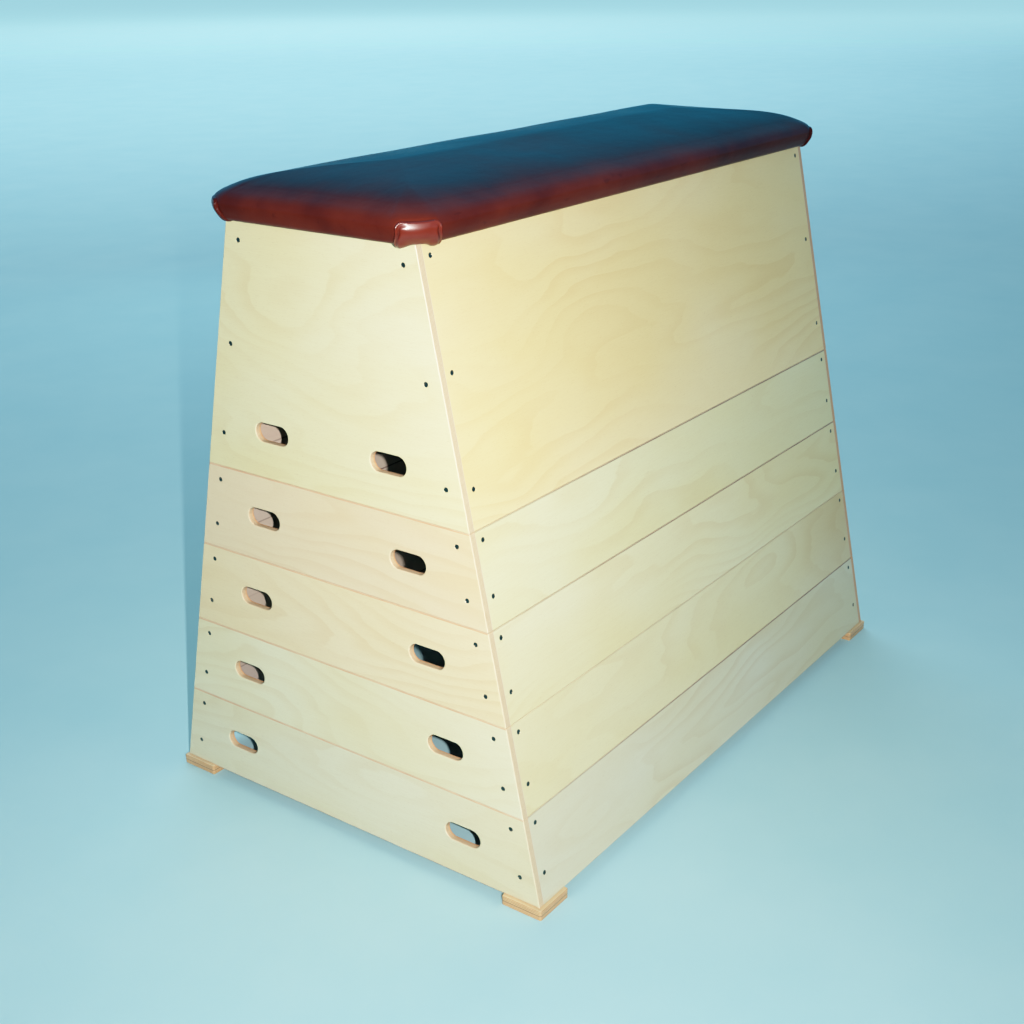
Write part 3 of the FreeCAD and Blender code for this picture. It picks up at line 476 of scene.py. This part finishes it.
dark_steel = steel("blackened_steel", srgb(78, 102, 100), 0.45)
for name in SECTIONS:
    paint("%s_screws" % name, dark_steel)
paint("foot_screws", dark_steel)
paint("deck_screws", dark_steel)
paint("cover_tacks", steel("tack_steel", srgb(150, 140, 124), 0.38))

# --------------------------------------------------------------------------
# Padded leather top
# --------------------------------------------------------------------------
PAD_X, PAD_Y = 0.6232, 0.2128          # widest half sizes
PAD_Z = 1.0240                         # underside
PAD_R = 0.050                          # plan radius of the corners
DECK_X, DECK_Y, DECK_R = 0.6103, 0.1993, 0.0363

# profile: millimetres in from the widest line, and up from the underside
PROFILE = [(26.0, 0.0), (19.0, 0.0), (13.2, 0.2), (9.0, 2.0), (5.4, 6.0), (2.5, 12.0), (0.7, 18.6),
           (0.0, 25.2), (1.1, 30.2), (4.3, 35.3), (10.2, 40.0), (19.5, 44.6), (33.0, 50.0), (50.0, 55.4),
           (72.0, 60.6), (98.0, 65.2), (130.0, 69.6), (165.0, 73.0), (208.0, 75.6)]


def spline(points, per_span):
    """Centripetal Catmull-Rom curve through the points."""
    pts = [np.array(p, float) for p in points]
    pts = [2 * pts[0] - pts[1]] + pts + [2 * pts[-1] - pts[-2]]
    out = []
    for i in range(1, len(pts) - 2):
        p0, p1, p2, p3 = pts[i - 1:i + 3]
        t0 = 0.0
        t1 = t0 + np.linalg.norm(p1 - p0) ** 0.5
        t2 = t1 + np.linalg.norm(p2 - p1) ** 0.5
        t3 = t2 + np.linalg.norm(p3 - p2) ** 0.5
        for t in np.linspace(t1, t2, per_span, endpoint=False):
            a1 = (t1 - t) / (t1 - t0) * p0 + (t - t0) / (t1 - t0) * p1
            a2 = (t2 - t) / (t2 - t1) * p1 + (t - t1) / (t2 - t1) * p2
            a3 = (t3 - t) / (t3 - t2) * p2 + (t - t2) / (t3 - t2) * p3
            b1 = (t2 - t) / (t2 - t0) * a1 + (t - t0) / (t2 - t0) * a2
            b2 = (t3 - t) / (t3 - t1) * a2 + (t - t1) / (t3 - t1) * a3
            out.append((t2 - t) / (t2 - t1) * b1 + (t - t1) / (t2 - t1) * b2)
    out.append(pts[-2])
    return np.array(out)


DENSE = spline(PROFILE, 24)
ARC = np.concatenate([[0.0], np.cumsum(np.linalg.norm(np.diff(DENSE, axis=0), axis=1))])
WIDEST = ARC[np.argmin(DENSE[:, 0])]
SIDE_END = float(np.interp(26.0, DENSE[DENSE[:, 1] > 30, 0], ARC[DENSE[:, 1] > 30]))


def rings(fine):
    """Arc-length stops along the profile: close on the side, wide on the top."""
    stops = [0.0]
    while stops[-1] < ARC[-1] - 1e-6:
        a = stops[-1]
        if fine:
            gap = 1.45 if a < SIDE_END else min(1.45 + (a - SIDE_END) * 0.10, 11.0)
        else:
            gap = 6.0 if a < SIDE_END else min(6.0 + (a - SIDE_END) * 0.10, 14.0)
        stops.append(a + gap)
    stops = np.array(stops)
    return stops * (ARC[-1] / stops[-1])


def columns(fine):
    """Stations round the outline: for each (kind, value), kind 0..3 a corner's
    arc with its angle share, kind 4..7 a straight side with its share."""
    arc_n = 72 if fine else 10
    out = []

    def straight(length):
        if not fine:
            n = max(2, int(round(length / 0.010)))
            return np.arange(1, n) / n
        half = length / 2
        s, pos = [], 0.0014
        gap = 0.0014
        while pos < half - 0.004:
            s.append(pos)
            gap = min(gap * 1.12, 0.0085)
            pos += gap
        s = np.array(s)
        s = s * (half / (s[-1] + gap))
        return np.concatenate([s, [half], (length - s)[::-1]]) / length

    sides = [2 * (PAD_X - PAD_R), 2 * (PAD_Y - PAD_R), 2 * (PAD_X - PAD_R), 2 * (PAD_Y - PAD_R)]
    for c in range(4):
        for k in range(arc_n + 1):
            out.append((c, k / arc_n))
        for v in straight(sides[c]):
            out.append((4 + c, float(v)))
    return out


# corners in order, anticlockwise: (+,+) (-,+) (-,-) (+,-); the side after corner c runs to corner c+1
CORNERS = [(1, 1), (-1, 1), (-1, -1), (1, -1)]


def outline(stations, hx, hy, r):
    """Points and outward normals of a rounded rectangle at the stations."""
    pts, nrm = [], []
    for kind, v in stations:
        c = kind % 4
        if kind < 4:
            ang = (c + v) * math.pi / 2
            n = (math.cos(ang), math.sin(ang))
            p = (CORNERS[c][0] * (hx - r) + r * n[0], CORNERS[c][1] * (hy - r) + r * n[1])
        else:
            ang = (c + 1) * math.pi / 2
            n = (math.cos(ang), math.sin(ang))
            a = CORNERS[c]
            b = CORNERS[(c + 1) % 4]
            ax, ay = a[0] * (hx - r) + r * n[0], a[1] * (hy - r) + r * n[1]
            bx, by = b[0] * (hx - r) + r * n[0], b[1] * (hy - r) + r * n[1]
            p = (ax + (bx - ax) * v, ay + (by - ay) * v)
        pts.append(p)
        nrm.append(n)
    return np.array(pts), np.array(nrm)


def corner_arc(stations):
    """For each station, signed distance along the widest outline from the nearest corner's middle, and which corner."""
    out, which = [], []
    lengths = [2 * (PAD_X - PAD_R), 2 * (PAD_Y - PAD_R)] * 2
    half_arc = PAD_R * math.pi / 4
    for kind, v in stations:
        c = kind % 4
        if kind < 4:
            out.append((v - 0.5) * 2 * half_arc)
            which.append(c)
        else:
            if v <= 0.5:
                out.append(half_arc + v * lengths[c])
                which.append(c)
            else:
                out.append(-(half_arc + (1 - v) * lengths[c]))
                which.append((c + 1) % 4)
    return np.array(out), np.array(which)


def smooth(t, a, b):
    u = np.clip((t - a) / (b - a), 0.0, 1.0)
    return u * u * (3 - 2 * u)


def pad_grid(stations, stops):
    """Positions [ring, station, 3] and plan normals of the pad's outer surface, in metres."""
    d = np.interp(stops, ARC, DENSE[:, 0]) / 1000.0
    h = np.interp(stops, ARC, DENSE[:, 1]) / 1000.0
    grid = np.zeros((len(stops), len(stations), 3))
    nrm = np.zeros((len(stops), len(stations), 2))
    for k in range(len(stops)):
        r = max(PAD_R - 0.55 * d[k], 0.004)
        r = min(r, PAD_Y - d[k] - 0.0005)
        p, n = outline(stations, PAD_X - d[k], PAD_Y - d[k], max(r, 0.0008))
        grid[k, :, :2] = p
        grid[k, :, 2] = PAD_Z + h[k]
        nrm[k] = n
    # take the mitre ridges off the top
    top = np.where(stops > SIDE_END + 6.0)[0]
    z = grid[:, :, 2].copy()
    for _ in range(60):
        avg = 0.5 * (np.roll(z, 1, axis=1) + np.roll(z, -1, axis=1))
        mid = z.copy()
        mid[1:-1] = 0.5 * (z[:-2] + z[2:])
        new = 0.5 * z + 0.25 * avg + 0.25 * mid
        z[top[:-1]] = new[top[:-1]]
    grid[:, :, 2] = z
    return grid, nrm


def quad_faces(nr, nc, offset=0, flip=False):
    out = []
    for k in range(nr - 1):
        for i in range(nc):
            j = (i + 1) % nc
            q = (offset + k * nc + i, offset + k * nc + j, offset + (k + 1) * nc + j, offset + (k + 1) * nc + i)
            out.append(q[::-1] if flip else q)
    return out


def close_top(stations, base, flip=False):
    """Quads that close the last ring: front and back stations of the long sides face each other."""
    idx = {s: base + i for i, s in enumerate(stations)}
    front = [(s, idx[s]) for s in stations if s[0] == 6]       # side after corner 2, at -Y, runs to +X
    back_ = [(s, idx[s]) for s in stations if s[0] == 4]       # side after corner 0, at +Y, runs to -X
    n = len(front)
    assert n == len(back_)
    out = []
    first = next(i for i, s in enumerate(stations) if s == (2, 1.0)) + base
    last = next(i for i, s in enumerate(stations) if s == (3, 0.0)) + base
    low = [first] + [i for _, i in front] + [last]
    first = next(i for i, s in enumerate(stations) if s == (1, 0.0)) + base
    last = next(i for i, s in enumerate(stations) if s == (0, 1.0)) + base
    high = [first] + [i for _, i in back_][::-1] + [last]
    for a in range(len(low) - 1):
        out.append((low[a], low[a + 1], high[a + 1], high[a]))
    total = len(stations)
    # the two ends: from corner 1's start round to corner 2's end, and corner 3's start to corner 0's end
    i1 = stations.index((1, 0.0))
    i2 = stations.index((2, 1.0))
    left = [base + i for i in range(i1, i2 + 1)]
    i3 = stations.index((3, 0.0))
    i0 = stations.index((0, 1.0))
    rightend = [base + i for i in range(i3, total)] + [base + i for i in range(0, i0 + 1)]
    out.append(tuple(left))
    out.append(tuple(rightend))
    if flip:
        out = [tuple(reversed(f)) for f in out]
    return out


def make_mesh(name, verts, faces):
    me = bpy.data.meshes.new(name)
    me.from_pydata([tuple(v) for v in verts], [], faces)
    me.update()
    ob = bpy.data.objects.new(name, me)
    bpy.context.scene.collection.objects.link(ob)
    return ob


def swell(stations, stops):
    """Cloth under air pressure, held at the tacked edge: how far each point of the pad moves."""
    grid, nrm = pad_grid(stations, stops)
    nr, nc = grid.shape[:2]
    verts = grid.reshape(-1, 3)
    faces = quad_faces(nr, nc) + close_top(stations, (nr - 1) * nc)
    faces.append(tuple(range(nc - 1, -1, -1)))
    ob = make_mesh("pad_cloth", verts, faces)
    # held all along the turned-under hem; the tack spacing worked out in run is not used
    group = ob.vertex_groups.new(name="hold")
    run = np.zeros(nc)
    g0 = grid[0]
    for i in range(nc):
        x, y = g0[i, 0], g0[i, 1]
        pos = x if abs(abs(y) - (PAD_Y - 0.0260)) < 0.002 else y
        run[i] = 0.5 + 0.5 * math.cos(2 * math.pi * pos / 0.054)
    under = stops < WIDEST - 27.0
    for k in range(nr):
        if under[k]:
            for i in range(nc):
                group.add([k * nc + i], 1.0, "REPLACE")
    mod = ob.modifiers.new("cloth", "CLOTH")
    st = mod.settings
    st.quality = 6
    st.mass = 0.35
    st.tension_stiffness = 22.0
    st.compression_stiffness = 22.0
    st.shear_stiffness = 9.0
    st.bending_stiffness = 2.5
    st.tension_damping = 12.0
    st.compression_damping = 12.0
    st.shear_damping = 12.0
    st.air_damping = 2.0
    st.use_pressure = True
    st.uniform_pressure_force = 3.2
    st.vertex_group_mass = "hold"
    st.pin_stiffness = 1.0
    st.effector_weights.gravity = 0.0
    mod.collision_settings.use_collision = False
    sc = bpy.context.scene
    frame_was = sc.frame_current
    for f in range(1, 19):
        sc.frame_set(f)
    dg = bpy.context.evaluated_depsgraph_get()
    ev = ob.evaluated_get(dg)
    co = np.zeros(len(ev.data.vertices) * 3)
    ev.data.vertices.foreach_get("co", co)
    move = co.reshape(nr, nc, 3) - grid
    sc.frame_set(frame_was)
    bpy.data.objects.remove(ob, do_unlink=True)
    return move


PLEAT_SHIFT = {0: 2.0, 1: -3.0, 2: 4.5, 3: 3.0}
PLEAT_TOP = {0: 9.5, 1: 8.0, 2: 8.4, 3: 9.0}


def pleat_half(q):
    """Half width of a pleat; the folds stay upright where the leather draws in to the hem."""
    return 31.2 + 7.0 * float(smooth(-q, 4.0, 24.0)) - 0.8 * float(smooth(q, 0.0, 8.0))


def pleat_edge(s, q, corner):
    """How far a place is inside the pleat's outline, in mm."""
    rad = 8.5
    qx = abs(s - PLEAT_SHIFT[corner]) - (pleat_half(q) - rad)
    qy = q - (PLEAT_TOP[corner] - rad)
    return rad - min(max(qx, qy), 0.0) - math.hypot(max(qx, 0.0), max(qy, 0.0))


def tab_shape(s, q, corner):
    """The box pleat at a corner: how far the leather stands out, and drops, in mm.
    s is along the outline from the corner's middle and q up the profile from the widest line, both in mm."""
    crisp = {0: 0.75, 1: 0.5, 2: 1.0, 3: 0.6}[corner]
    inside = pleat_edge(s, q, corner)
    s = s - PLEAT_SHIFT[corner]
    qx = abs(s) - (pleat_half(q) - 8.5)
    qy = q - (PLEAT_TOP[corner] - 8.5)
    # share of "upper edge" in this place, 1 along the top, 0 along the two folds
    ux, uy = max(qx + 9.0, 0.0), max(qy + 9.0, 0.0)
    up_share = uy * uy / (ux * ux + uy * uy + 1e-6)
    rise = float(smooth(inside, -0.4, 1.7))
    # flatter than the corner behind it: the folds stand out more than the middle
    out = rise * (3.5 + 0.0072 * min(abs(s), 31.0) ** 2)
    # along the top the leather slopes evenly down to a sagging line
    low = min(-4.5 + 11.5 * ((s + 9.0) / (19.0 if s < -9.0 else 34.0)) ** 2, 7.0)
    v = min(low + 0.9 * math.log1p(math.exp(min((q - low) / 0.9, 30.0))), 9.5)
    out += rise * (-1.08 - 0.194 * v + 0.032 * max(v, 0.0) ** 2)
    out += (1 - up_share) * crisp * (0.9 * math.exp(-((inside - 1.7) / 1.4) ** 2)
                                     - 3.4 * math.exp(-((inside - 4.9) / 1.9) ** 2))
    out -= 0.9 * crisp * math.exp(-((inside + 1.5) / 1.4) ** 2)
    # drawn in under the lower edge
    out *= 1.0 - 0.62 * float(smooth(-q, 7.0, 25.0))
    # the folds come out below the lower edge as two soft lobes
    centre, width = (27.0, 8.6) if s < 0 else (24.5, 7.0)
    t = (abs(s) - centre) / width
    lobe = math.exp(-abs(t) ** 2.6) * float(smooth(-q, 9.0, 24.0))
    size = {0: 0.7, 1: 0.75, 2: 1.0, 3: 0.6}[corner]
    drop = -(2.0 if s < 0 else 1.3) * lobe * size
    out += 0.5 * lobe
    drop += 1.0 * math.exp(-(s / 15.0) ** 4) * float(smooth(-q, 14.0, 24.0)) * size
    flat = {0: 0.6, 1: 0.5, 2: 1.0, 3: 0.5}[corner]
    return out * flat, drop


def build_pad():
    stations = columns(True)
    stops = rings(True)
    grid, nrm = pad_grid(stations, stops)
    nr, nc = grid.shape[:2]
    arc_s, which = corner_arc(stations)
    base_r = PAD_R
    # what the cloth does, carried over from the coarser net
    cst, csp = columns(False), rings(False)
    move = swell(cst, csp)
    # the profile is already that of a filled pad, so only the last millimetre is the cloth's
    move = move * 0.28
    length = np.linalg.norm(move, axis=2, keepdims=True)
    cap = 0.0013
    move = move * np.minimum(1.0, cap / np.maximum(length, 1e-9))

    def along(stns):
        pts, _ = outline(stns, PAD_X, PAD_Y, PAD_R)
        seg = np.linalg.norm(np.diff(pts, axis=0, append=pts[:1]), axis=1)
        return np.concatenate([[0.0], np.cumsum(seg)[:-1]]), seg.sum()

    us, total = along(cst)
    uf, _ = along(stations)
    wide = np.concatenate([us - total, us, us + total])
    rows = np.zeros((len(csp), nc, 3))
    for k in range(len(csp)):
        for a in range(3):
            rows[k, :, a] = np.interp(uf, wide, np.tile(move[k, :, a], 3))
    fine = np.zeros((nr, nc, 3))
    for i in range(nc):
        for a in range(3):
            fine[:, i, a] = np.interp(stops, csp, rows[:, i, a])
    # even out the steps of the coarse net
    for _ in range(14):
        fine = 0.5 * fine + 0.25 * (np.roll(fine, 1, axis=1) + np.roll(fine, -1, axis=1))
        fine[1:-1] = 0.5 * fine[1:-1] + 0.25 * (fine[:-2] + fine[2:])
    hold = smooth(stops, WIDEST - 29.0, WIDEST - 15.0)[:, None, None]
    grid = grid + fine * hold
    # slow unevenness of stuffing and hide
    x, y = grid[:, :, 0], grid[:, :, 1]
    free = smooth(stops, WIDEST - 20.0, WIDEST + 20.0)[:, None]
    wave = (np.sin(x * 9.1 + 0.7) * np.sin(y * 17.0 + 1.3) * 0.0007
            + np.sin(x * 21.0 + y * 11.0 + 2.0) * 0.00035)
    grid[:, :, 2] += wave * free
    # box pleats
    q = stops - WIDEST
    for i in range(nc):
        s = arc_s[i] * 1000.0
        if abs(s) > 60.0:
            continue
        for k in range(nr):
            if q[k] < -38.0 or q[k] > 40.0:
                continue
            out, drop = tab_shape(s, q[k], int(which[i]))
            fade = 1.0 if q[k] > -29.0 else float(smooth(q[k], -38.0, -29.0))
            # outwards along the profile's own normal
            dd = np.interp([stops[k] - 1.0, stops[k] + 1.0], ARC, DENSE[:, 0])
            hh = np.interp([stops[k] - 1.0, stops[k] + 1.0], ARC, DENSE[:, 1])
            t = np.array([-(dd[1] - dd[0]), hh[1] - hh[0]])
            t /= max(np.linalg.norm(t), 1e-9)
            n_out, n_up = t[1], -t[0]
            grid[k, i, 0] += nrm[k, i, 0] * n_out * out * fade / 1000.0
            grid[k, i, 1] += nrm[k, i, 1] * n_out * out * fade / 1000.0
            grid[k, i, 2] += (n_up * out * fade + drop * fade) / 1000.0
    verts = [tuple(v) for v in grid.reshape(-1, 3)]
    faces = quad_faces(nr, nc) + close_top(stations, (nr - 1) * nc)
    on_pleat = []
    for n in range((nr - 1) * nc):
        k, i = divmod(n, nc)
        on_pleat.append(which[i] == 2 and abs(arc_s[i] * 1000.0) < 60.0 and q[k] < 30.0
                        and pleat_edge(arc_s[i] * 1000.0, q[k] + 0.9, int(which[i])) > 0.2)
    # the turned-in edge's thickness and the hollow that the deck fills
    inner = [
        (PAD_X - 0.0260, PAD_Y - 0.0260, PAD_R - 0.55 * 0.0260, PAD_Z + 0.0017),
        (DECK_X - 0.004, DECK_Y - 0.004, DECK_R - 0.002, PAD_Z + 0.0018),
        (DECK_X, DECK_Y, DECK_R, PAD_Z + 0.0022),
        (DECK_X, DECK_Y, DECK_R, PAD_Z + 0.0195),
        (DECK_X - 0.0015, DECK_Y - 0.0015, DECK_R - 0.001, PAD_Z + 0.0204),
        (DECK_X - 0.17, DECK_Y - 0.17, 0.006, PAD_Z + 0.0204),
    ]
    start = len(verts)
    for hx, hy, r, z in inner:
        p, _ = outline(stations, hx, hy, r)
        verts += [(a, b, z) for a, b in p]
    # from the hem's lower ring (ring 0) up into the hollow
    for i in range(nc):
        j = (i + 1) % nc
        faces.append((i, start + i, start + j, j))
    for k in range(len(inner) - 1):
        for i in range(nc):
            j = (i + 1) % nc
            a, b = start + k * nc, start + (k + 1) * nc
            faces.append((a + i, b + i, b + j, a + j))
    faces += close_top(stations, start + (len(inner) - 1) * nc, flip=True)
    ob = make_mesh("leather_top", verts, faces)
    for p in ob.data.polygons:
        p.use_smooth = True
    ob.data.materials.append(leather_material("oxblood_leather"))
    ob.data.materials.append(leather_material("oxblood_leather_pleats", True))
    for n, yes in enumerate(on_pleat):
        if yes:
            ob.data.polygons[n].material_index = 1
    return ob


pad = build_pad()
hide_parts("leather_cover", "foam_pad")
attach(pad, "top_section")

# --------------------------------------------------------------------------
# Floor and light
# --------------------------------------------------------------------------
bpy.ops.mesh.primitive_plane_add(size=80.0, location=(0, 0, 0))
floor = bpy.context.object
floor.name = "floor"
g = Graph("floor")
n = g.noise(g.place(), 3.0, 3.0, 0.6)
fx, fy, fz = g.xyz(g.place())
far = g.math("SQRT", g.add(g.mul(fx, fx), g.mul(fy, fy)))
glow = g.mix(g.step(far, 14.0, 27.0), (0.0, 0.0, 0.0), (0.33, 0.57, 0.62))
g.set(Base_Color=g.mix(g.line(n, 0.3, 0.7, 0.0, 1.0), srgb(182, 224, 236), srgb(189, 228, 239)), Roughness=0.75, Emission_Color=glow)
g.bsdf.inputs["Emission Strength"].default_value = 1.0
floor.data.materials.append(g.mat)


def area(name, place, target, size, power, colour, mirrored=False, spread=180.0):
    data = bpy.data.lights.new(name, "AREA")
    data.shape = "RECTANGLE"
    data.size, data.size_y = size
    data.energy = power
    data.color = colour
    data.spread = math.radians(spread)
    o = bpy.data.objects.new(name, data)
    bpy.context.scene.collection.objects.link(o)
    o.location = place
    o.rotation_mode = "QUATERNION"
    o.rotation_quaternion = (Vector(target) - Vector(place)).to_track_quat("-Z", "Y")
    o.visible_glossy = mirrored
    return o


key_place = EYE + right * 0.13 - up * 0.014 + back * 0.095
area("key", key_place, (-0.48, -0.27, 0.68), (0.022, 0.022), 26.0, (1.0, 0.985, 0.93), True, 100.0)
area("fill_left", (-3.2, 2.0, 2.4), (0, 0, 0.5), (2.4, 2.4), 3.0, (0.60, 0.92, 1.0))
area("fill_back", (2.6, 2.6, 2.0), (0, 0, 0.5), (2.4, 2.4), 15.0, (0.60, 0.92, 1.0))
area("top_soft", (0.3, 0.2, 3.6), (0, 0, 0.6), (2.6, 2.0), 9.0, (0.60, 0.92, 1.0))

area("floor_back", (10.0, 10.5, 6.5), (10.0, 10.6, 0.0), (18.0, 16.0), 1500.0, (0.80, 0.95, 1.0))

world = bpy.data.worlds.new("studio")
bpy.context.scene.world = world
world.use_nodes = True
wt = world.node_tree
plain = wt.nodes["Background"]
plain.inputs[0].default_value = (0.46, 0.88, 1.0, 1.0)
plain.inputs[1].default_value = 0.17
dim = wt.nodes.new("ShaderNodeBackground")
dim.inputs[0].default_value = (0.03, 0.33, 0.56, 1.0)
dim.inputs[1].default_value = 1.35
kind = wt.nodes.new("ShaderNodeLightPath")
both = wt.nodes.new("ShaderNodeMixShader")
wt.links.new(kind.outputs["Is Glossy Ray"], both.inputs[0])
wt.links.new(plain.outputs[0], both.inputs[1])
wt.links.new(dim.outputs[0], both.inputs[2])
wt.links.new(both.outputs[0], wt.nodes["World Output"].inputs[0])
